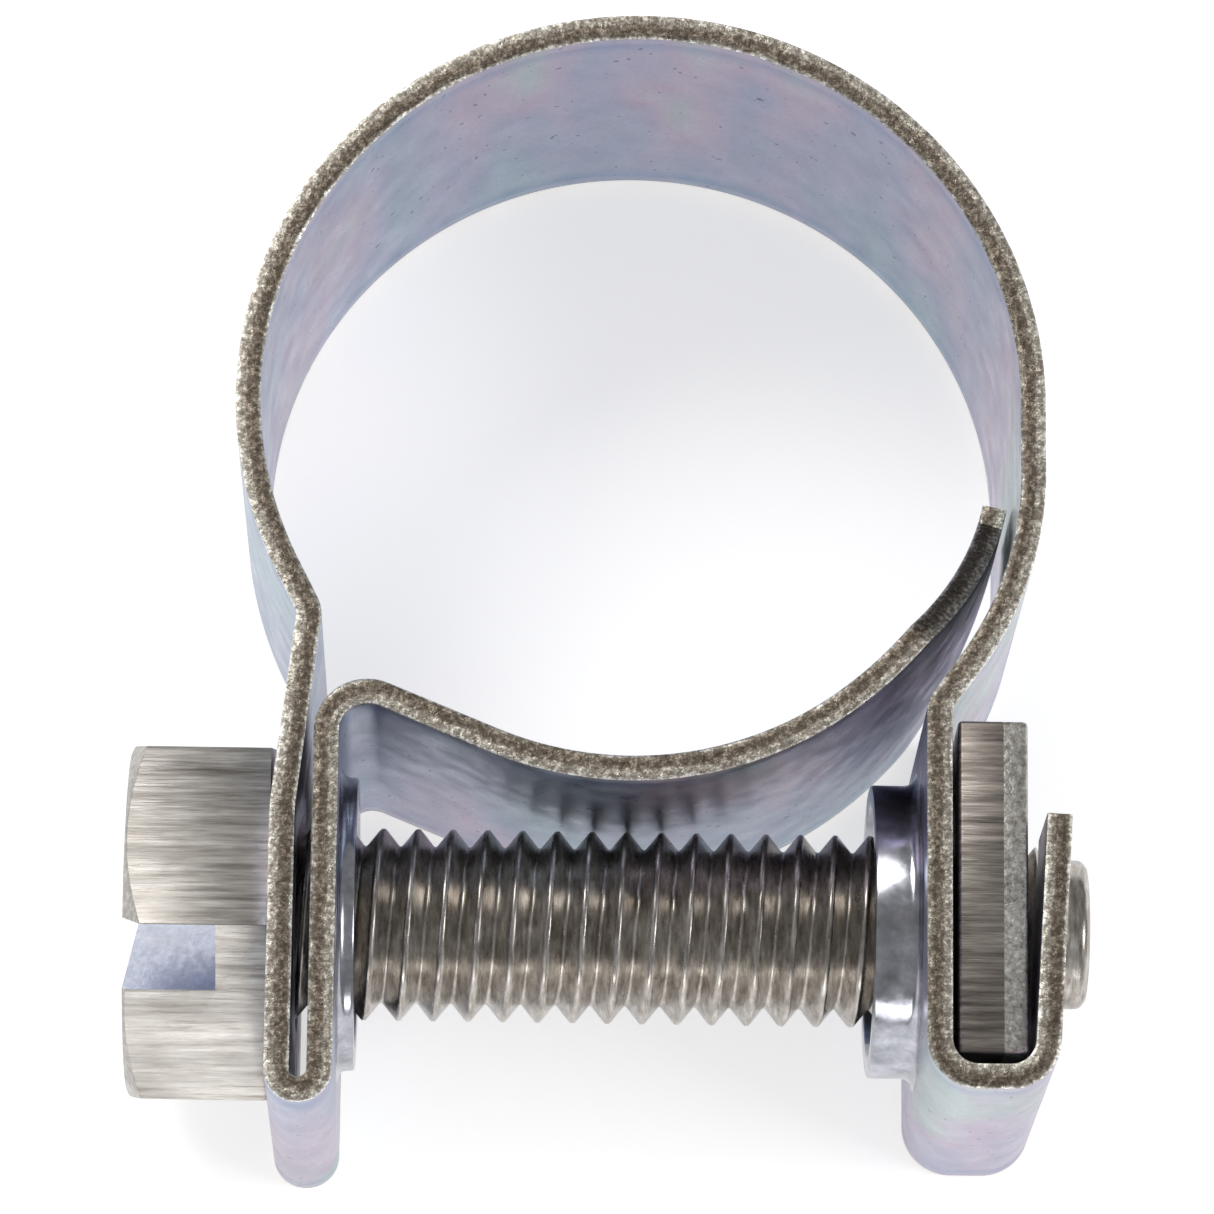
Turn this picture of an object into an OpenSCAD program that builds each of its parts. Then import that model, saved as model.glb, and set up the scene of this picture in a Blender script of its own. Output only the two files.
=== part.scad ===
// Small nut-and-bolt hose clamp: one folded steel strip, a slotted hexagon screw and a plate nut.
// Millimetres. The hose runs along Z. The origin is the centre of the ring, half way across the strip.
// The strip lies on its lower edge, at z = -band_w / 2. The screw's axis is parallel to X.
// The strip is drawn as rigid links joined by knuckles on its middle surface, so that it can close.

/* [Strip] */
// Width of the strip, along the hose
band_w = 9; // [8.5:0.25:10]
// Thickness of the strip
band_t = 0.5; // [0.4:0.02:0.52]
// Radius of the ring, at the middle of the strip
ring_r = 7.82; // [7.8:0.01:7.86]
// Length of the narrowed end of the tongue
tongue_taper = 3.8; // [3:0.1:4.2]
// Width of the tongue's tip
tongue_tip_w = 3; // [2:0.25:5]

/* [Ears] */
// Middle of the outer layer of the head ear
head_out_x = -6.96; // [-7:0.01:-6.94]
// Middle of the inner layer of the head ear
head_in_x = -6.12; // [-6.14:0.01:-6.1]
// Middle of the nut ear's wall
nut_wall_x = 5.95; // [5.92:0.01:5.97]
// Middle of the nut ear's turned-up flap, where it starts
flap_x = 8.07; // [8.05:0.01:8.2]
// Lean of the flap
flap_lean = 3; // [2:0.5:4]
// Outside radius of the drawn collars
collar_r = 2.95; // [2.9:0.05:3.05]
// Inside radius of the drawn collars
collar_bore_r = 2.5; // [2.4:0.05:2.6]
// Height of the collar on the nut ear
nut_collar_h = 0.93; // [0.7:0.05:1]
// Height of the collar on the head ear
head_collar_h = 0.35; // [0.25:0.05:0.5]

/* [Screw] */
// Height of the screw's axis below the ring's centre
axis_y = -9.8; // [-9.84:0.01:-9.8]
// Outside diameter of the thread
thread_d = 3.88; // [3.8:0.02:3.88]
// Pitch of the thread
pitch = 0.7; // [0.6:0.05:0.75]
// Width across the flats of the head
head_af = 7; // [6.5:0.1:7.4]
// Height of the head
head_k = 2.85; // [2.6:0.05:3.2]
// Width of the screwdriver slot
slot_w = 1.4; // [1.2:0.05:1.5]
// Depth of the screwdriver slot
slot_depth = 1.85; // [1.4:0.05:2]
// Diameter of the plain point
point_d = 3; // [2.8:0.05:3.05]

/* [Nut] */
// Thickness of the nut, along the screw
nut_t = 1.38; // [1.3:0.02:1.4]
// Height of the nut, across the strip's ears
nut_h = 6.7; // [6.4:0.05:6.72]
// Length of the nut, along the strip's width
nut_w = 8.4; // [7.5:0.1:8.5]

/* [Hidden] */
$fn = 96;
h = band_t / 2;          // half the strip's thickness
kc = 0.015;              // running clearance of a knuckle
zinc = [0.72, 0.74, 0.80];
steel = [0.62, 0.63, 0.66];

// ring: knuckle angles about the origin
a_left = 207;            // the ring ends here and runs on straight into the head ear
a1 = 181; a2 = 135; a3 = 92; a4 = 50; a5 = 4;
function pol(r, a) = [r * cos(a), r * sin(a)];
function along(p, a, u) = [p[0] + u * cos(a), p[1] + u * sin(a)];

// head ear
pL = pol(ring_r, a_left);
dL = a_left + 90;                      // heading of the straight run, 297 degrees
uL0 = 0.88;                            // first knuckle
lean = 6.6;                            // the outer layer leans out below the shoulder bend
dO = 270 - lean;
bL = 0.5 * tan((dL - dO) / 2);         // from the knuckle to the bend's corner
H0 = along(pL, dL, uL0);
cL = along(H0, dL, bL);
cO = [head_out_x, cL[1] - (cL[0] - head_out_x) / tan(lean)];
bO = 4 * tan(lean / 2);
fold_r = (head_in_x - head_out_x) / 2; // the fold at the foot of the head ear
fold_y = -13.69;
// crest of the head ear and the tongue's arc
crest_r = 0.8;
crest_c = [head_in_x + crest_r, -6.91];
t_c = [-0.156, -0.5];
t_r = 7.09;
cc_v = t_c - crest_c;
cc_d = norm(cc_v);
t_n = atan2(cc_v[1], cc_v[0]) + acos((crest_r + t_r) / cc_d); // direction of the common tangent's normal
T1 = crest_c + pol(crest_r, t_n);
T2 = t_c - pol(t_r, t_n);
t_len = norm(T2 - T1);
T_head = t_n - 90;                     // heading of the straight run
TH0 = along(T1, T_head, 0.35);
ta1 = 304;                             // second tongue knuckle, about t_c
ta2 = 307;                             // the tongue opens out from here
TH1 = t_c + pol(t_r, ta1);
te_r = 8.4;
te_c = t_c + pol(t_r - te_r, ta2);
te_end = 347.3;
// nut ear
pR = [ring_r, -1.4];
sR = 6.8;                              // radius of the run towards the nut ear
cR = [ring_r - sR, -1.4];
aR = -35;
eR = cR + pol(sR, aR);
dR = aR - 90;                          // heading of the straight run
uRc = (eR[0] - nut_wall_x) / cos(dR + 180);
wR = along(eR, dR, uRc);               // corner of the shoulder
H6 = along(eR, dR, uRc - 0.19);
foot_y = -12.9;
foot_r = 0.75;
flap_top = -8.35;
nut_x = 6.32;
screw_x0 = -10.08;

// a straight run of strip from p, heading a, length l
module run(p, a, l) translate([p[0], p[1], -band_w / 2]) rotate(a) translate([0, -h, 0]) cube([l, band_t, band_w]);
// a core inside the strip, across the line where a run meets a bend
module tie(p) translate([p[0], p[1], -band_w / 2 + 0.5]) cylinder(r = 0.15, h = band_w - 1, $fn = 24);
// a curved run about c, from angle a0 to a1
module bend(c, r, a0, a1, w = band_w)
  translate([c[0], c[1], 0]) rotate(a0) rotate_extrude(angle = a1 - a0) translate([r - h, -w / 2]) square([band_t, w]);
// points along a bend, each with its heading, and the outline of a strip that follows such points
function arcp(c, r, a0, a1, n) = [for (i = [0:n]) let (a = a0 + (a1 - a0) * i / n)
  [c[0] + r * cos(a), c[1] + r * sin(a), a + (a1 > a0 ? 90 : -90)]];
function side(P, s) = [for (q = P) [q[0] + s * h * cos(q[2] + 90), q[1] + s * h * sin(q[2] + 90)]];
function cap(q, a) = [for (i = [1:11]) [q[0] + h * cos(q[2] + a - 15 * i), q[1] + h * sin(q[2] + a - 15 * i)]];
function back(L) = [for (i = [len(L) - 1:-1:0]) L[i]];
// knuckle0 and knuckle1 round off the start and the end
module strip(P, knuckle0 = false, knuckle1 = false)
  translate([0, 0, -band_w / 2]) linear_extrude(height = band_w)
    polygon(concat(side(P, 1), knuckle1 ? cap(P[len(P) - 1], 90) : [], back(side(P, -1)), knuckle0 ? cap(P[0], -90) : []));
module knob(p) translate([p[0], p[1], -band_w / 2]) cylinder(r = h - 0.004, h = band_w);
// seat of a knuckle, cut into the end of a strip that stops at p
module seat(p) translate([p[0], p[1], -band_w]) cylinder(r = h + kc, h = 2 * band_w);
module ring_link(a0, a1) {
  difference() {
    bend([0, 0], ring_r, a1, a0 - 0.3);
    seat(pol(ring_r, a0));
  }
  knob(pol(ring_r, a1));
}

// revolved about the screw's axis; the profile's x is the radius and its y is along X
module on_axis() translate([0, axis_y, 0]) rotate([0, 90, 0]) rotate_extrude() children();
// drawn collar: outside, from the wall's face at x0 to the rim at x1
module collar_body(x0, x1) {
  s = x1 > x0 ? 1 : -1;
  f = 0.25;
  on_axis() difference() {
    union() {
      translate([0, min(x0 - s * 0.2, x1)]) square([collar_r, abs(x1 - x0) + 0.2]);
      translate([0, min(x0 - s * 0.2, x0 + s * f)]) square([collar_r + f, f + 0.2]);
    }
    translate([collar_r + f, x0 + s * f]) circle(r = f, $fn = 48);
  }
}
// the hole through it, rounded where it enters the strip's back face
module collar_hole(x0, x1, back) {
  s = x1 > x0 ? 1 : -1;
  f = 0.4;
  lo = min(back - s * 0.28, x1 + s);
  on_axis() union() {
    translate([0, lo]) square([collar_bore_r, abs(x1 + s - back + s * 0.28)]);
    difference() {
      translate([0, min(back - s * 0.28, back + s * f)]) square([collar_bore_r + f, f + 0.28]);
      translate([collar_bore_r + f, back + s * f]) circle(r = f, $fn = 48);
    }
  }
}

// the folded ear that carries the screw's head: outer layer, fold, inner layer with a low collar, crest
module head_ear() color(zinc) {
  out_face = head_in_x + h;
  difference() {
    union() {
      strip(concat(
        arcp(along(H0, dL - 90, 0.5), 0.5, dL + 90, dO + 90, 6),
        arcp(along(along(cO, dO, -bO), dO + 90, 4), 4, dO - 90, 180, 3),
        arcp([(head_in_x + head_out_x) / 2, fold_y], fold_r, 180, 360, 18),
        arcp(crest_c, crest_r, 180, t_n, 16),
        [[TH0[0], TH0[1], T_head]]), true, true);
      collar_body(out_face, out_face + head_collar_h);
    }
    collar_hole(out_face, out_face + head_collar_h, head_in_x - h);
    translate([-8, axis_y, 0]) rotate([0, 90, 0]) cylinder(r = 2.2, h = 1.45);
  }
}
// the tongue that bridges the gap under the hose
module tongue_1() color(zinc) {
  difference() {
    union() {
      run(along(TH0, T_head, 0.16), T_head, t_len - 0.51);
      tie(T2);
      bend(t_c, t_r, t_n + 180, ta1);
    }
    seat(TH0);
  }
  knob(TH1);
}
module tongue_2() color(zinc) {
  ps = te_c + pol(te_r, te_end);
  chord = te_end - 90 - 13 + 180;      // heading from the tip back along the tongue
  difference() {
    union() {
      strip(concat(arcp(t_c, t_r, ta1 + 0.3, ta2, 2), arcp(te_c, te_r, ta2 + 0.7, te_end, 24)));
    }
    seat(TH1);
    for (s = [-1, 1])
      translate([ps[0], ps[1], 0]) rotate(chord) rotate([90, 0, 0]) translate([0, 0, -2])
        linear_extrude(height = 4)
          polygon([[-1, s * tongue_tip_w / 2], [0.25, s * tongue_tip_w / 2],
                   [0.5, s * (tongue_tip_w / 2 + 0.25)],
                   [tongue_taper, s * (band_w / 2 - 0.12)], [tongue_taper + 0.18, s * (band_w / 2 + 0.01)],
                   [tongue_taper, s * 8], [-1, s * 8]]);
  }
}
// the ring's links, from the head ear over the top to the nut ear
module ring_1() color(zinc) {
  difference() {
    union() {
      bend([0, 0], ring_r, a1, a_left);
      tie(pL);
      run(pL, dL, uL0 - 0.1);
    }
    seat(H0);
  }
  knob(pol(ring_r, a1));
}
module ring_2() color(zinc) ring_link(a1, a2);
module ring_3() color(zinc) ring_link(a2, a3);
module ring_4() color(zinc) ring_link(a3, a4);
module ring_5() color(zinc) ring_link(a4, a5);
module ring_6() color(zinc) {
  difference() {
    union() {
      strip(concat(arcp([0, 0], ring_r, a5 - 0.3, 0, 2), arcp(cR, sR, 0, aR, 14), [[H6[0], H6[1], dR]]), false, true);
    }
    seat(pol(ring_r, a5));
  }
}
// the ear that holds the nut: a wall with a drawn collar, and a forked flap turned up round the nut
module nut_ear() color(zinc) {
  in_face = nut_wall_x - h;
  fl = (flap_top - foot_y) / cos(flap_lean);
  bl = 0.4 * tan((-90 - dR) / 2);
  difference() {
    union() {
      strip(concat(
        arcp(along(along(wR, dR, -bl), dR + 90, 0.4), 0.4, dR - 90, -180, 6),
        arcp([nut_wall_x + foot_r, foot_y], foot_r, 180, 270, 12),
        arcp([flap_x - foot_r, foot_y], foot_r, 270, 360 - flap_lean, 12),
        [[flap_x - foot_r + foot_r * cos(flap_lean) + fl * sin(flap_lean),
          foot_y - foot_r * sin(flap_lean) + fl * cos(flap_lean), 90 - flap_lean]]));
      collar_body(in_face, in_face - nut_collar_h);
    }
    seat(H6);
    collar_hole(in_face, in_face - nut_collar_h, nut_wall_x + h);
    // fork: the screw passes between the flap's two prongs
    translate([7.2, axis_y, 0]) rotate([0, 90, 0]) cylinder(r = 2.15, h = 2.5);
    translate([7.2, axis_y, -2.15]) cube([2.5, 3, 4.3]);
    // rounded outer corners of the prongs
    for (s = [-1, 1]) translate([7.2, flap_top - 0.35, s * (band_w / 2 - 0.45)]) difference() {
      translate([0, 0, s > 0 ? 0 : -1]) cube([2.5, 1.2, 1]);
      rotate([0, 90, 0]) translate([0, 0, -0.1]) cylinder(r = 0.45, h = 3);
    }
  }
}
// slotted hexagon screw; the thread is drawn as rings at the true pitch, depth and diameter
module screw() color(steel) {
  r = thread_d / 2;
  rr = r - 0.41;
  n = floor((8.22 + 6.9) / pitch);
  x1 = screw_x0 + head_k;
  translate([screw_x0, axis_y, 0]) rotate([0, 90, 0]) difference() {
    intersection() {
      rotate(13.5) cylinder(r = head_af / sqrt(3), h = head_k, $fn = 6);
      union() {
        cylinder(r1 = head_af / 2 - 0.1, r2 = head_af / 2 + 0.76, h = 0.5);
        translate([0, 0, 0.5]) cylinder(r = head_af / 2 + 0.76, h = head_k);
      }
    }
    rotate(23.7) translate([-5, -slot_w / 2, -1]) cube([10, slot_w, slot_depth + 1]);
  }
  on_axis() polygon(concat(
    [[0, x1 - 0.5], [r - 0.08, x1 - 0.5], [r - 0.08, x1 + 0.2]],
    [for (i = [0:n - 1], k = [0:3]) let (x = -6.9 + i * pitch)
      k == 0 ? [r, x + pitch * 0.06] : k == 1 ? [rr, x + pitch * 0.44] : k == 2 ? [rr, x + pitch * 0.56] : [r, x + pitch * 0.94]],
    [[r, 8.25], [point_d / 2, 8.5], [point_d / 2, 9.0], [point_d / 2 - 0.15, 9.15], [0, 9.15]]));
}
// blanked plate nut, held from turning by the ear
module plate_nut() color(steel) {
  c = 0.12;
  a = nut_w / 2;
  b = nut_h / 2;
  difference() {
    translate([nut_x, axis_y, 0]) rotate([0, 90, 0]) linear_extrude(height = nut_t)
      polygon([[a, c - b], [a, b - c], [a - c, b], [c - a, b], [-a, b - c], [-a, c - b], [c - a, -b], [a - c, -b]]);
    translate([nut_x - 1, axis_y, 0]) rotate([0, 90, 0]) cylinder(r = thread_d / 2 + 0.05, h = nut_t + 2);
  }
}

head_ear();
tongue_1();
tongue_2();
ring_1();
ring_2();
ring_3();
ring_4();
ring_5();
ring_6();
nut_ear();
screw();
plate_nut();
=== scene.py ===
import math
import random

import bmesh
import bpy
import numpy as np
from mathutils import Matrix, Vector


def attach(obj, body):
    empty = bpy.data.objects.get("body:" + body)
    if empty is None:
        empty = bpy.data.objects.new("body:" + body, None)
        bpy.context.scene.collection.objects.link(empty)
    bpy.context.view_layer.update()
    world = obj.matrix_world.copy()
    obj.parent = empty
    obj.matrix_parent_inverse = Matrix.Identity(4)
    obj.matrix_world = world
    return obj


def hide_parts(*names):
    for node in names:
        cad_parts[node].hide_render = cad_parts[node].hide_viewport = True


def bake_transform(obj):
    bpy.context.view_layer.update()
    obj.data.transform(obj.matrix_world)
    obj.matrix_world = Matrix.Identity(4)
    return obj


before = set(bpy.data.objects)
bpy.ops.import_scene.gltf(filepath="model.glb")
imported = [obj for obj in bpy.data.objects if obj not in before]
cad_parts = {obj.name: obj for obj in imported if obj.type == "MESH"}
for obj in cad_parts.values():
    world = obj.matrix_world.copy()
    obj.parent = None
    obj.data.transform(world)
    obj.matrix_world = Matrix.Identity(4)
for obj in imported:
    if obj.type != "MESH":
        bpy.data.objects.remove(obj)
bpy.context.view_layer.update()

random.seed(7)
M = 0.001

# ------------------------------------------------------------------ camera
scene = bpy.context.scene


def rot(axis, a):
    return Matrix.Rotation(a, 3, axis)


R = rot("Z", -0.0114) @ rot("X", -0.2674) @ rot("Y", 0.0158)
t = Vector((0.5971, 2.9814, -151.36)) * M
cam_data = bpy.data.cameras.new("camera")
cam = bpy.data.objects.new("camera", cam_data)
scene.collection.objects.link(cam)
Rt = R.transposed()
cam.matrix_world = Matrix.Translation(-(Rt @ t)) @ Rt.to_4x4()
cam_data.sensor_width = 36
cam_data.lens = 219.05
cam_data.clip_start, cam_data.clip_end = 0.01, 5
scene.camera = cam

# ------------------------------------------------------------------ the strip's path, as the CAD has it
W, T = 9.0, 0.5
H = T / 2
RR = 7.82


def pol(r, a):
    return np.array([r * math.cos(math.radians(a)), r * math.sin(math.radians(a))])


def along(p, a, u):
    return np.asarray(p, float) + pol(u, a)


a_left = 207
pL = pol(RR, a_left)
dL = a_left + 90
lean = 6.6
dO = 270 - lean
bL = 0.5 * math.tan(math.radians((dL - dO) / 2))
H0 = along(pL, dL, 0.88)
cL = along(H0, dL, bL)
XO, XI, AY = -6.96, -6.12, -9.8
cO = np.array([XO, cL[1] - (cL[0] - XO) / math.tan(math.radians(lean))])
bO = 4 * math.tan(math.radians(lean / 2))
FY = -13.69
cc = np.array([XI + 0.8, -6.91])
tc, tr = np.array([-0.156, -0.5]), 7.09
v = tc - cc
tn = math.degrees(math.atan2(v[1], v[0])) + math.degrees(math.acos((0.8 + tr) / np.hypot(*v)))
T1, T2 = cc + pol(0.8, tn), tc - pol(tr, tn)
TH = tn - 90
te_r, te_end = 8.4, 347.3
te_c = tc + pol(tr - te_r, 307)
WX = 5.95
cR = np.array([RR - 6.8, -1.4])
eR = cR + pol(6.8, -35)
dR = -125
uR = (eR[0] - WX) / math.cos(math.radians(dR + 180))
wR = along(eR, dR, uR)
bR = 0.4 * math.tan(math.radians((-90 - dR) / 2))
FR, FTY, FX, FLEAN, FTOP = 0.75, -12.9, 8.07, 3.0, -8.35


def arc(c, r, a0, a1, step=0.14):
    n = max(int(abs(a1 - a0) / 5) + 1, int(abs(math.radians(a1 - a0)) * r / step) + 1)
    s = 90 if a1 > a0 else -90
    return [(*(np.asarray(c) + pol(r, a)), a + s) for a in np.linspace(a0, a1, n + 1)]


def line(p, q, head, step=0.25):
    p, q = np.asarray(p), np.asarray(q)
    n = max(1, int(np.hypot(*(q - p)) / step))
    return [(*(p + (q - p) * u), head) for u in np.linspace(0, 1, n + 1)]


def join(*parts):
    out = []
    for part in parts:
        for q in part:
            if not out or math.hypot(q[0] - out[-1][0], q[1] - out[-1][1]) > 1e-4:
                out.append(q)
    return out


sO = along(cO, dO, -bO)
# from the left knuckle down the outer layer, round the fold, up the inner layer, over the crest, to the tongue's tip
down = join(
    arc(along(H0, dL - 90, 0.5), 0.5, dL + 90, dO + 90),
    line(along(cL, dO, bL), sO, dO),
    arc(along(sO, dO + 90, 4), 4, dO - 90, 180),
    line((XO, cO[1] - bO), (XO, FY), 270),
    arc(((XI + XO) / 2, FY), (XI - XO) / 2, 180, 360),
    line((XI, FY), (XI, cc[1]), 450),
    arc(cc, 0.8, 180, tn),
    line(T1, T2, TH),
    arc(tc, tr, tn + 180, 307),
    arc(te_c, te_r, 307, te_end),
)
# from the left knuckle over the ring to the flap's end
fl = (FTOP - FTY) / math.cos(math.radians(FLEAN))
pf = np.array([FX - FR, FTY]) + pol(FR, -FLEAN)
up = join(
    line(H0, pL, dL + 180),
    arc((0, 0), RR, a_left, 0),
    line((RR, 0), (RR, -1.4), -90),
    arc(cR, 6.8, 0, -35),
    line(eR, along(wR, dR, -bR), dR),
    arc(along(along(wR, dR, -bR), dR + 90, 0.4), 0.4, dR - 90, -180),
    line((WX, wR[1] - bR), (WX, FTY), -90),
    arc((WX + FR, FTY), FR, 180, 270),
    line((WX + FR, FTY - FR), (FX - FR, FTY - FR), 0),
    arc((FX - FR, FTY), FR, 270, 360 - FLEAN),
    line(pf, along(pf, 90 - FLEAN, fl), 90 - FLEAN),
)
path = [(x, y, h + 180) for x, y, h in reversed(down)]
n_tongue = len(path)
path += [q for q in up if math.hypot(q[0] - path[-1][0], q[1] - path[-1][1]) > 1e-4]
P = np.array(path)
S = np.r_[0, np.cumsum(np.hypot(*np.diff(P[:, :2], axis=0).T))]


def nearest(x, y, lo_=0, hi_=None):
    hi_ = len(P) if hi_ is None else hi_
    return lo_ + int(np.argmin(np.hypot(P[lo_:hi_, 0] - x, P[lo_:hi_, 1] - y)))


def width(s):
    """The tongue narrows to its tip; the rest is the full width."""
    if s < 0.42:
        return 3.0 + 0.5 * max(0, s - 0.2)
    if s < 3.9:
        return 3.2 + (W - 3.2) * (s - 0.42) / 3.48
    return W


# ------------------------------------------------------------------ meshes
def section(w):
    """Closed cross-section of the strip: (n, z, kind, across). kind 0 broad face, 1 edge face."""
    a, b, z = 0.035, 0.075, w / 2      # burr side outside, rolled side inside
    pts = []
    zs = np.concatenate([[z - b * 0.6], np.linspace(z - 0.45, -z + 0.45, 9), [-z + b * 0.6]]) if w > 2 else np.linspace(z - b, -z + b, 4)
    pts += [(H, q, 0) for q in zs]
    pts += [(H - 0.01, -z + 0.01, 1), (H - a, -z, 1)]
    pts += [(n_, -z, 1) for n_ in (0.12, 0.02, -0.09)]
    pts += [(-H + b, -z, 1), (-H + b * 0.35, -z + b * 0.3, 1)]
    pts += [(-H, q, 0) for q in zs[::-1]]
    pts += [(-H + b * 0.35, z - b * 0.3, 1), (-H + b, z, 1)]
    pts += [(n_, z, 1) for n_ in (-0.09, 0.02, 0.12)]
    pts += [(H - a, z, 1), (H - 0.01, z - 0.01, 1)]
    return pts


def sweep(name, i0, i1, mats):
    """The strip from path point i0 to i1, as one closed mesh."""
    verts, faces, mi = [], [], []
    acr = []
    n = None
    for i in range(i0, i1 + 1):
        x, y, hd = P[i]
        c, s = math.cos(math.radians(hd + 90)), math.sin(math.radians(hd + 90))
        sec = section(width(S[i]))
        n = len(sec)
        for (nn, z, k) in sec:
            verts.append(((x + nn * c) * M, (y + nn * s) * M, z * M))
            acr.append(nn / H)
    kinds = [q[2] for q in section(W)]
    for r in range(i1 - i0):
        for j in range(n):
            k = (j + 1) % n
            a, b = r * n + j, r * n + k
            faces.append((a, b, b + n, a + n))
            mi.append(1 if (kinds[j] or kinds[k]) else 0)
    faces.append(tuple(range(n))[::-1]); mi.append(1)
    faces.append(tuple(range((i1 - i0) * n, (i1 - i0 + 1) * n))); mi.append(1)
    me = bpy.data.meshes.new(name)
    me.from_pydata(verts, [], faces)
    for m in mats:
        me.materials.append(m)
    me.polygons.foreach_set("material_index", mi)
    at = me.attributes.new("across", "FLOAT", "POINT")
    at.data.foreach_set("value", np.array(acr, np.float32))
    bm = bmesh.new(); bm.from_mesh(me); bmesh.ops.recalc_face_normals(bm, faces=bm.faces); bm.to_mesh(me); bm.free()
    return link(name, me)


def link(name, me):
    o = bpy.data.objects.new(name, me)
    scene.collection.objects.link(o)
    return o


def finish_mesh(o, angle=32):
    o.data.shade_smooth()
    o.data.set_sharp_from_angle(angle=math.radians(angle))


def apply_mods(o):
    dg = bpy.context.evaluated_depsgraph_get()
    dg.update()
    me = bpy.data.meshes.new_from_object(o.evaluated_get(dg))
    o.modifiers.clear()
    old = o.data
    o.data = me
    bpy.data.meshes.remove(old)


def boolean(o, cutter, op="DIFFERENCE"):
    m = o.modifiers.new("b", "BOOLEAN")
    m.operation, m.solver, m.object = op, "EXACT", cutter
    bpy.context.view_layer.update()
    apply_mods(o)
    bpy.data.objects.remove(cutter)


def rod(x0, x1, r, n=96, y=AY, z=0.0):
    """A cylinder along X, as a cutter."""
    bm = bmesh.new()
    rings = []
    for x in (x0, x1):
        rings.append([bm.verts.new((x * M, (y + r * math.cos(2 * math.pi * i / n)) * M, (z + r * math.sin(2 * math.pi * i / n)) * M)) for i in range(n)])
    bm.faces.new(rings[0][::-1]); bm.faces.new(rings[1])
    for i in range(n):
        bm.faces.new((rings[0][i], rings[0][(i + 1) % n], rings[1][(i + 1) % n], rings[1][i]))
    bmesh.ops.recalc_face_normals(bm, faces=bm.faces)
    me = bpy.data.meshes.new("cutter"); bm.to_mesh(me); bm.free()
    return link("cutter", me)


def block(x0, x1, y0, y1, z0, z1):
    bm = bmesh.new()
    bmesh.ops.create_cube(bm, size=1)
    for q in bm.verts:
        q.co = Vector(((x0 + (q.co.x + 0.5) * (x1 - x0)) * M, (y0 + (q.co.y + 0.5) * (y1 - y0)) * M, (z0 + (q.co.z + 0.5) * (z1 - z0)) * M))
    me = bpy.data.meshes.new("cutter"); bm.to_mesh(me); bm.free()
    return link("cutter", me)


def lathe(name, prof, mats, n=128, y=AY, closed=True):
    """A closed profile of (radius, x), turned about the screw's axis."""
    k = len(prof)
    verts, faces = [], []
    for i in range(n):
        a = 2 * math.pi * i / n
        for r, x in prof:
            verts.append((x * M, (y + r * math.cos(a)) * M, r * math.sin(a) * M))
    for i in range(n):
        for j in range(k if closed else k - 1):
            a, b = i * k + j, i * k + (j + 1) % k
            c, d = ((i + 1) % n) * k + (j + 1) % k, ((i + 1) % n) * k + j
            faces.append((a, b, c, d))
    me = bpy.data.meshes.new(name)
    me.from_pydata(verts, [], faces)
    for m in mats:
        me.materials.append(m)
    bm = bmesh.new(); bm.from_mesh(me); bmesh.ops.recalc_face_normals(bm, faces=bm.faces); bm.to_mesh(me); bm.free()
    return link(name, me)


# ------------------------------------------------------------------ materials
def new_mat(name):
    m = bpy.data.materials.new(name)
    m.use_nodes = True
    nt = m.node_tree
    nt.nodes.clear()
    out = nt.nodes.new("ShaderNodeOutputMaterial")
    bs = nt.nodes.new("ShaderNodeBsdfPrincipled")
    nt.links.new(bs.outputs[0], out.inputs[0])
    return m, nt, bs


def node(nt, kind, **kw):
    n = nt.nodes.new(kind)
    for k, val in kw.items():
        if k in n.inputs:
            n.inputs[k].default_value = val
        else:
            setattr(n, k, val)
    return n


def coords(nt, scale=(1, 1, 1)):
    tex = nt.nodes.new("ShaderNodeTexCoord")
    mp = nt.nodes.new("ShaderNodeMapping")
    mp.inputs["Scale"].default_value = scale
    nt.links.new(tex.outputs["Object"], mp.inputs["Vector"])
    return mp.outputs[0]


def noise(nt, scale, co, detail=4, rough=0.55):
    n = node(nt, "ShaderNodeTexNoise", Scale=scale, Detail=detail, Roughness=rough)
    nt.links.new(co, n.inputs["Vector"])
    return n.outputs["Fac"]


def ramp(nt, fac, stops):
    r = nt.nodes.new("ShaderNodeValToRGB")
    e = r.color_ramp.elements
    while len(e) < len(stops):
        e.new(0.5)
    for el, (p, c) in zip(e, stops):
        el.position, el.color = p, (*c, 1)
    nt.links.new(fac, r.inputs[0])
    return r.outputs[0]


def mix(nt, fac, a, b, mode="MIX"):
    m = nt.nodes.new("ShaderNodeMix")
    m.data_type, m.blend_type = "RGBA", mode
    for sock, val in ((0, fac), (6, a), (7, b)):
        if hasattr(val, "links"):
            nt.links.new(val, m.inputs[sock])
        else:
            m.inputs[sock].default_value = val
    return m.outputs[2]


def maprange(nt, fac, a, b, c, d):
    m = nt.nodes.new("ShaderNodeMapRange")
    nt.links.new(fac, m.inputs[0])
    for i, val in enumerate((a, b, c, d)):
        m.inputs[i + 1].default_value = val
    return m.outputs[0]


def bump(nt, bs, h, strength, dist):
    b = node(nt, "ShaderNodeBump", Strength=strength, Distance=dist)
    nt.links.new(h, b.inputs["Height"])
    nt.links.new(b.outputs[0], bs.inputs["Normal"])


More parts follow.
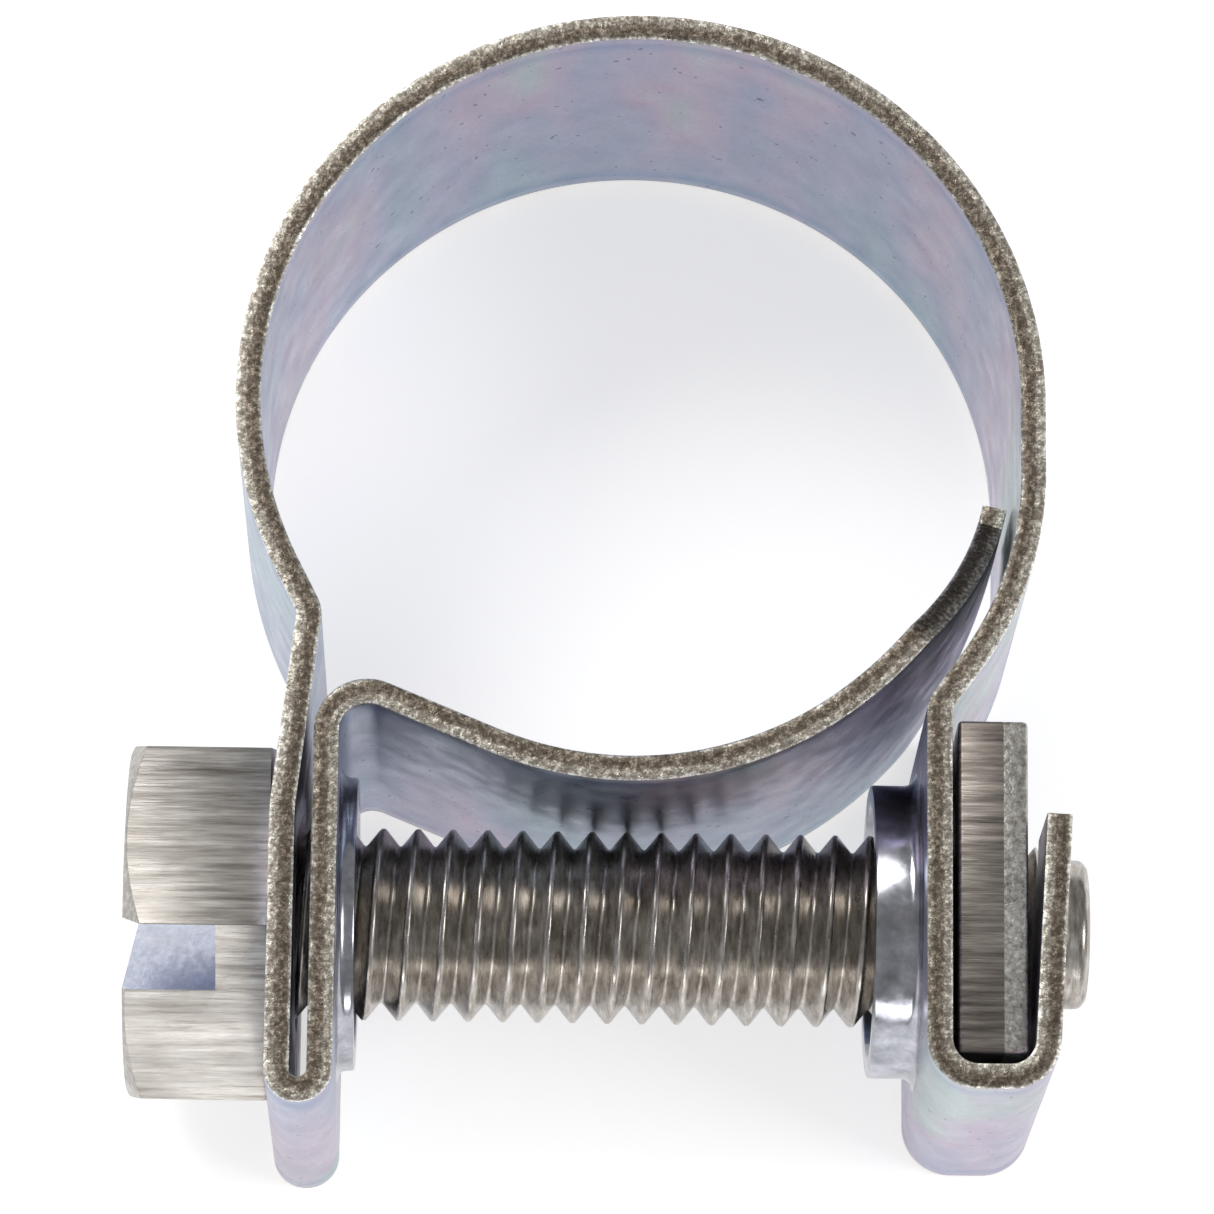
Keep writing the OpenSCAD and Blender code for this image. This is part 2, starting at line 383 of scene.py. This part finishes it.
# broad faces: bright zinc with a blue-violet passivation, cloudy pinks and greens, fine dark specks, and a painted
# shade band along both long edges
zinc, nt, bs = new_mat("zinc_plate")
co = coords(nt)
cloud = noise(nt, 190, coords(nt, (1, 1, 0.45)), 3, 0.6)
tint = ramp(nt, cloud, [(0.30, (0.35, 0.45, 0.51)), (0.42, (0.34, 0.40, 0.50)), (0.50, (0.38, 0.39, 0.51)), (0.58, (0.47, 0.40, 0.50)), (0.68, (0.41, 0.48, 0.49))])
fine = ramp(nt, noise(nt, 9000, co, 2), [(0.3, (0.90, 0.90, 0.92)), (0.7, (1.0, 1.0, 1.0))])
col = mix(nt, 1.0, tint, fine, "MULTIPLY")
spk = ramp(nt, noise(nt, 5200, co, 1, 0.4), [(0.245, (0.30, 0.32, 0.40)), (0.275, (1, 1, 1))])
col = mix(nt, 0.85, col, spk, "MULTIPLY")
# painted shade: a blue-grey band darkens the broad faces near both long edges, where the flared lip turns away from
# the light; it is colour, not geometry
sep = nt.nodes.new("ShaderNodeSeparateXYZ"); nt.links.new(co, sep.inputs[0])
absz = node(nt, "ShaderNodeMath", operation="ABSOLUTE"); nt.links.new(sep.outputs[2], absz.inputs[0])
painted_lip_shade = ramp(nt, maprange(nt, absz.outputs[0], 0.0036, 0.0045, 0, 1), [(0.0, (1, 1, 1)), (0.55, (0.74, 0.84, 0.94)), (0.72, (1, 1, 1))])
col = mix(nt, 1.0, col, painted_lip_shade, "MULTIPLY")
nt.links.new(col, bs.inputs["Base Color"])
bs.inputs["Metallic"].default_value = 0.93
nt.links.new(maprange(nt, noise(nt, 1300, co, 3), 0.3, 0.7, 0.26, 0.42), bs.inputs["Roughness"])
bump(nt, bs, noise(nt, 14000, co, 3), 0.10, 0.00002)

# sheared edges: brown-grey burnish, a rough fracture zone with painted glints, and a bright burr
edge, nt, bs = new_mat("sheared_edge")
co = coords(nt)
att = nt.nodes.new("ShaderNodeAttribute"); att.attribute_name = "across"
wob = node(nt, "ShaderNodeMath", operation="ADD")
nt.links.new(att.outputs["Fac"], wob.inputs[0])
nt.links.new(maprange(nt, noise(nt, 1500, co, 3), 0, 1, -0.35, 0.35), wob.inputs[1])
zone = maprange(nt, wob.outputs[0], -1, 1, 0, 1)
base = ramp(nt, zone, [(0.02, (0.85, 0.85, 0.81)), (0.12, (0.30, 0.27, 0.23)), (0.30, (0.20, 0.17, 0.14)), (0.58, (0.27, 0.235, 0.20)), (0.66, (0.48, 0.455, 0.41)), (0.88, (0.54, 0.515, 0.47)), (0.97, (0.95, 0.94, 0.90))])
# fracture grain with painted highlight: bright specks above 1 in the colour stand in for glints of light on the rough
# edge
fracture_grain_painted_glint = ramp(nt, noise(nt, 11000, co, 3, 0.75), [(0.42, (0.38, 0.33, 0.28)), (0.55, (0.95, 0.93, 0.89)), (0.64, (2.0, 1.96, 1.84))])
col = mix(nt, 0.85, base, fracture_grain_painted_glint, "MULTIPLY")
nt.links.new(col, bs.inputs["Base Color"])
bs.inputs["Metallic"].default_value = 0.9
nt.links.new(maprange(nt, noise(nt, 5000, co, 3), 0.3, 0.7, 0.22, 0.5), bs.inputs["Roughness"])
bump(nt, bs, noise(nt, 6500, co, 4, 0.8), 0.55, 0.00005)

# screw: bright zinc with turning marks; the head has fine scratches along the screw
def metal(name, c0, c1, sc, stretch, rough, bstr, metal_=0.92):
    m, nt, bs = new_mat(name)
    co = coords(nt)
    cs = coords(nt, stretch)
    a = noise(nt, sc, cs, 4, 0.7)
    col = ramp(nt, a, [(0.30, c0), (0.52, tuple((p + q) / 2 for p, q in zip(c0, c1))), (0.70, c1)])
    col = mix(nt, 0.6, col, ramp(nt, noise(nt, 900, co, 3), [(0.3, (0.72, 0.70, 0.68)), (0.7, (1.0, 1.0, 1.0))]), "MULTIPLY")
    nt.links.new(col, bs.inputs["Base Color"])
    bs.inputs["Metallic"].default_value = metal_
    nt.links.new(maprange(nt, noise(nt, 2600, cs, 3), 0.3, 0.7, rough[0], rough[1]), bs.inputs["Roughness"])
    bump(nt, bs, a, bstr, 0.00003)
    return m


head_mat = metal("screw_head", (0.24, 0.22, 0.20), (0.64, 0.62, 0.59), 5200, (0.10, 1.6, 1.6), (0.28, 0.48), 0.25)
slot_mat = metal("screw_slot", (0.44, 0.50, 0.66), (0.72, 0.74, 0.84), 4200, (2.2, 0.5, 0.5), (0.3, 0.45), 0.4)
thread_mat = metal("screw_thread", (0.22, 0.19, 0.16), (0.70, 0.67, 0.63), 5200, (1.8, 0.35, 0.35), (0.20, 0.38), 0.2)
nut_mat = metal("nut_edge", (0.10, 0.085, 0.075), (0.46, 0.42, 0.38), 4200, (0.12, 2.0, 1.4), (0.26, 0.45), 0.3)
nut_frac = metal("nut_fracture", (0.22, 0.20, 0.18), (0.80, 0.79, 0.75), 7600, (1, 1, 1), (0.25, 0.5), 0.8)
collar_mat = metal("collar", (0.30, 0.31, 0.35), (0.60, 0.61, 0.67), 1800, (1, 1, 1), (0.12, 0.26), 0.06, 0.95)

# ------------------------------------------------------------------ the strip's pieces, split at set points along the path
g0 = n_tongue - 1                      # first point of the ring side


def ring_at(a):
    return nearest(*pol(RR, a), g0)


c_tongue = nearest(*(tc + pol(tr, 274)), 0, g0)
c_leg = nearest(XI, -7.3, 0, g0)
cuts = [ring_at(194), ring_at(158), ring_at(113.5), ring_at(71), ring_at(27), nearest(RR, -0.7, g0)]
end = len(P) - 1
pieces = {}

pieces["strip_tongue"] = sweep("strip_tongue", 0, c_tongue, (zinc, edge))
pieces["strip_crest"] = sweep("strip_crest", c_tongue, c_leg, (zinc, edge))
pieces["strip_head_ear"] = sweep("strip_head_ear", c_leg, cuts[0], (zinc, edge))
for k in range(5):
    pieces["strip_ring_%d" % (k + 1)] = sweep("strip_ring_%d" % (k + 1), cuts[k], cuts[k + 1], (zinc, edge))
pieces["strip_nut_ear"] = sweep("strip_nut_ear", cuts[5], end, (zinc, edge))

# holes
o = pieces["strip_head_ear"]
boolean(o, rod(XO - 1, (XI + XO) / 2, 2.2))
boolean(o, rod((XI + XO) / 2, XI + 0.6, 2.88))
o = pieces["strip_nut_ear"]
boolean(o, rod(WX - 0.6, WX + 0.6, 2.88))
boolean(o, rod(7.4, 9.2, 2.15))
boolean(o, block(7.4, 9.2, AY, -7.0, -2.15, 2.15))


def bend_pts(c, r, a0, a1, n=6):
    return [(c[0] + r * math.cos(math.radians(a)), c[1] + r * math.sin(math.radians(a))) for a in np.linspace(a0, a1, n + 1)]


# drawn collars: profile (radius, x)
def collar(name, front, rim, backf):
    s = 1 if rim > front else -1
    q = 0.06
    pr = [(3.2, front)]
    pr += [(3.2 - 0.25 * math.sin(a), front + s * 0.25 * (1 - math.cos(a))) for a in np.linspace(0.2, math.pi / 2, 6)] if abs(rim - front) > 0.5 else \
          [(3.15 - 0.2 * math.sin(a), front + s * 0.2 * (1 - math.cos(a))) for a in np.linspace(0.2, math.pi / 2, 5)]
    pr += [(2.95, rim - s * q), (2.93, rim - s * q * 0.3), (2.88, rim), (2.57, rim), (2.52, rim - s * q * 0.3), (2.5, rim - s * q)]
    pr += [(2.9 - 0.4 * math.cos(a), backf + s * 0.4 - s * 0.4 * math.sin(a)) for a in np.linspace(0, math.pi / 2, 7)]
    pr += [(2.97, backf + s * 0.1), (3.08, front - s * 0.1)]
    return lathe(name, pr, (collar_mat,))


col_head = collar("collar_head", XI + H, XI + H + 0.35, XI - H)
col_nut = collar("collar_nut", WX - H, WX - H - 0.93, WX + H)
for o in list(pieces.values()) + [col_head, col_nut]:
    finish_mesh(o)


def bl(name):
    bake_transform(pieces[name])


bl("strip_crest")
bl("strip_tongue")
bl("strip_head_ear")
for k in range(5):
    bl("strip_ring_%d" % (k + 1))
bl("strip_nut_ear")
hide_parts("tongue_1")
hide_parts("tongue_2")
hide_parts("head_ear", "ring_1")
for k, n_ in enumerate(["ring_2", "ring_3", "ring_4", "ring_5"]):
    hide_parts(n_)
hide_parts("nut_ear", "ring_6")
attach(col_head, "head_ear")
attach(col_nut, "nut_ear")

# ------------------------------------------------------------------ screw: helical thread and plain point
PITCH, RM, RT = 0.7, 1.93, 1.575
X_CREST = -4.6385 + PITCH * 0.5


def thread_r(x, a):
    """Radius at x and angle a; a is from -Y. Right-hand thread."""
    ph = ((x + 4.6385) / PITCH - a / (2 * math.pi)) % 1.0
    d = min(ph, 1 - ph)                # 0 at the crest, 0.5 at the root
    if d < 0.055:
        r = RM
    elif d > 0.44:
        r = RT + 0.02 * ((0.5 - d) / 0.06) ** 2
    else:
        r = RM - (RM - RT - 0.02) * (d - 0.055) / 0.385
    if x < -6.75:
        r = min(r, RT + 0.12 + 0.22 * max(0.0, (x + 7.23) / 0.48))
    return r


NA = 120
xs = list(np.arange(-7.6, 8.36, 0.035))
verts, faces = [], []
for x in xs:
    for i in range(NA):
        a = 2 * math.pi * i / NA
        r = thread_r(x, a)
        if x > 7.95:
            r = min(r, RM - (x - 7.95) * 1.05)
        r = max(r, 1.5)
        if x < -7.2:
            r = RM - 0.05
        verts.append((x * M, (AY - r * math.cos(a)) * M, r * math.sin(a) * M))
tip = [(8.40, 1.5), (8.95, 1.5), (9.02, 1.485), (9.08, 1.44), (9.14, 1.36), (9.15, 1.28), (9.15, 0.6)]
for x, r in tip:
    for i in range(NA):
        a = 2 * math.pi * i / NA
        verts.append((x * M, (AY - r * math.cos(a)) * M, r * math.sin(a) * M))
nr = len(xs) + len(tip)
for j in range(nr - 1):
    for i in range(NA):
        k = (i + 1) % NA
        faces.append((j * NA + i, j * NA + k, (j + 1) * NA + k, (j + 1) * NA + i))
faces.append(tuple(range(NA)))
faces.append(tuple(range((nr - 1) * NA, nr * NA))[::-1])
me = bpy.data.meshes.new("screw_shank")
me.from_pydata(verts, [], faces)
me.materials.append(thread_mat)
bm = bmesh.new(); bm.from_mesh(me); bmesh.ops.recalc_face_normals(bm, faces=bm.faces); bm.to_mesh(me); bm.free()
shank = link("screw_shank", me)
finish_mesh(shank, 50)

# head: hexagon prism, chamfered, slotted, with softened corners
X0, X1, AF = -10.08, -7.23, 7.0
bm = bmesh.new()
rings = []
for x in (X0, X1):
    rings.append([])
    for i in range(6):
        a = math.radians(60 * i + 13.5)
        rr = AF / math.sqrt(3)
        rings[-1].append(bm.verts.new((x * M, (AY - rr * math.sin(a)) * M, rr * math.cos(a) * M)))
bm.faces.new(rings[0]); bm.faces.new(rings[1][::-1])
for i in range(6):
    bm.faces.new((rings[0][i], rings[0][(i + 1) % 6], rings[1][(i + 1) % 6], rings[1][i]))
bmesh.ops.recalc_face_normals(bm, faces=bm.faces)
me = bpy.data.meshes.new("screw_head"); bm.to_mesh(me); bm.free()
head = link("screw_head", me)
for m_ in (head_mat, slot_mat):
    me.materials.append(m_)
cone = lathe("cutter", [(0.0001, X0), (3.4, X0), (3.47, X0 + 0.03), (4.26, X0 + 0.5), (4.26, X1 + 0.2), (0.0001, X1 + 0.2)], (head_mat,))
boolean(head, cone, "INTERSECT")
cut = block(X0 - 1, X0 + 1.85, AY - 0.7, AY + 0.7, -5, 5)
ang = math.radians(23.7)
piv = Vector((0, AY * M, 0))
cut.data.transform(Matrix.Translation(piv) @ Matrix.Rotation(ang, 4, "X") @ Matrix.Translation(-piv))
cut.data.materials.append(head_mat); cut.data.materials.append(slot_mat)
for f_ in cut.data.polygons:
    f_.material_index = 1
boolean(head, cut)
mo = head.modifiers.new("bevel", "BEVEL")
mo.width, mo.segments, mo.limit_method, mo.angle_limit = 0.00008, 3, "ANGLE", math.radians(28)
apply_mods(head)
finish_mesh(head, 30)
for o in (shank, head):
    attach(o, "screw")
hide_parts("screw")

# ------------------------------------------------------------------ nut: blanked plate, rolled on one side, torn on the other
bm = bmesh.new()
NX0, NX1 = 6.32, 7.70
bmesh.ops.create_cube(bm, size=1)
for q in bm.verts:
    q.co = Vector(((NX0 + (q.co.x + 0.5) * (NX1 - NX0)) * M, (AY + q.co.y * 6.7) * M, q.co.z * 8.4 * M))
me = bpy.data.meshes.new("plate_nut_body"); bm.to_mesh(me); bm.free()
nut = link("plate_nut_body", me)
me.materials.append(nut_mat); me.materials.append(nut_frac)
boolean(nut, rod(NX0 - 1, NX1 + 1, 1.99))
mo = nut.modifiers.new("bevel", "BEVEL")
mo.width, mo.segments, mo.limit_method, mo.angle_limit = 0.00009, 3, "ANGLE", math.radians(40)
apply_mods(nut)
# split the faces across the plate so that the torn third has its own finish
bm = bmesh.new(); bm.from_mesh(nut.data)
for xx in (7.22,):
    bmesh.ops.bisect_plane(bm, geom=bm.verts[:] + bm.edges[:] + bm.faces[:], plane_co=(xx * M, 0, 0), plane_no=(1, 0, 0))
for f_ in bm.faces:
    f_.material_index = 1 if f_.calc_center_median().x > 7.22 * M and abs(f_.normal.x) < 0.9 else 0
bm.to_mesh(nut.data); bm.free()
finish_mesh(nut, 35)
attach(nut, "nut_ear")
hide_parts("plate_nut")

# ------------------------------------------------------------------ floor, light
fm, nt, bs = new_mat("floor")
bs.inputs["Base Color"].default_value = (0.93, 0.93, 0.935, 1)
bs.inputs["Roughness"].default_value = 0.9
bs.inputs["Emission Color"].default_value = (1, 1, 1, 1)
bs.inputs["Emission Strength"].default_value = 0.58
me = bpy.data.meshes.new("floor")
g = 0.6
me.from_pydata([(-g, -g, -0.0047), (g, -g, -0.0047), (g, g, -0.0047), (-g, g, -0.0047)], [], [(0, 1, 2, 3)])
me.materials.append(fm)
floor = link("floor", me)

world = bpy.data.worlds.new("world")
scene.world = world
world.use_nodes = True
world.node_tree.nodes["Background"].inputs[0].default_value = (1, 1, 1, 1)
world.node_tree.nodes["Background"].inputs[1].default_value = 0.34


def area(name, loc, target, size, power, color=(1, 1, 1)):
    d = bpy.data.lights.new(name, "AREA")
    d.shape, d.size, d.size_y = "RECTANGLE", size[0], size[1]
    d.energy, d.color = power, color
    o = bpy.data.objects.new(name, d)
    scene.collection.objects.link(o)
    o.location = loc
    o.rotation_mode = "QUATERNION"
    o.rotation_quaternion = (Vector(target) - Vector(loc)).to_track_quat("-Z", "Y")
    return o


area("key", (-0.10, 0.14, 0.22), (0, -0.002, 0), (0.12, 0.10), 0.26, (1.0, 0.99, 0.97))
area("fill", (0.20, -0.06, 0.16), (0, -0.004, 0), (0.10, 0.07), 0.16, (0.97, 0.98, 1.0))
area("low", (-0.02, -0.24, 0.05), (0, -0.006, 0), (0.20, 0.04), 0.14)
scene.view_settings.view_transform = "Standard"
